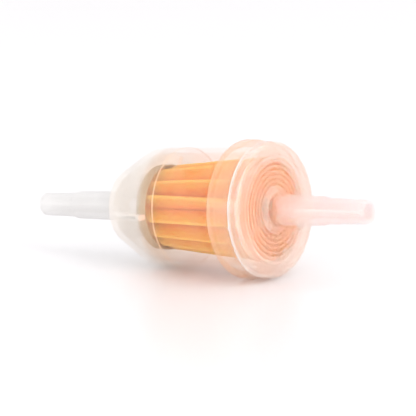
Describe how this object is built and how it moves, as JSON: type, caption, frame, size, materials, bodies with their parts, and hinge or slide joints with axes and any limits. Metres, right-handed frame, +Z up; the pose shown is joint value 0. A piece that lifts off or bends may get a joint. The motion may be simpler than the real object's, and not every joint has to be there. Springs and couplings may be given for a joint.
{
  "type": "fuel filter",
  "caption": "Inline fuel filter: a translucent welded canister with a domed inlet end, a flat ridged outlet cap, a pleated paper element inside and a stepped hose barb at each end.",
  "frame": {"origin": "middle of the filter's axis, half way between the two barb tips", "axes": "+X along the flow, out of the outlet barb; +Z up; the first rib in the dome is 5 degrees below -Y"},
  "size_m": [0.112, 0.0384, 0.0384],
  "materials": {
    "natural_nylon": "translucent, slightly frosted, moulded",
    "pink_nylon": "translucent, pale pink tint, glossy, moulded",
    "weld_flash": "white, ragged, from the weld",
    "filter_paper": "resin-cured cellulose paper, orange, matt",
    "tinned_steel": "pressed sheet, dull olive grey",
    "adhesive": "cured, smooth, amber"
  },
  "bodies": {
    "root": {"inlet_housing": "natural_nylon", "outlet_cap": "pink_nylon", "weld_flash": "weld_flash", "pleated_element": "filter_paper", "element_end_cup": "tinned_steel", "cup_potting": "adhesive", "outlet_potting": "adhesive", "seam_adhesive": "adhesive"}
  },
  "joints": []
}
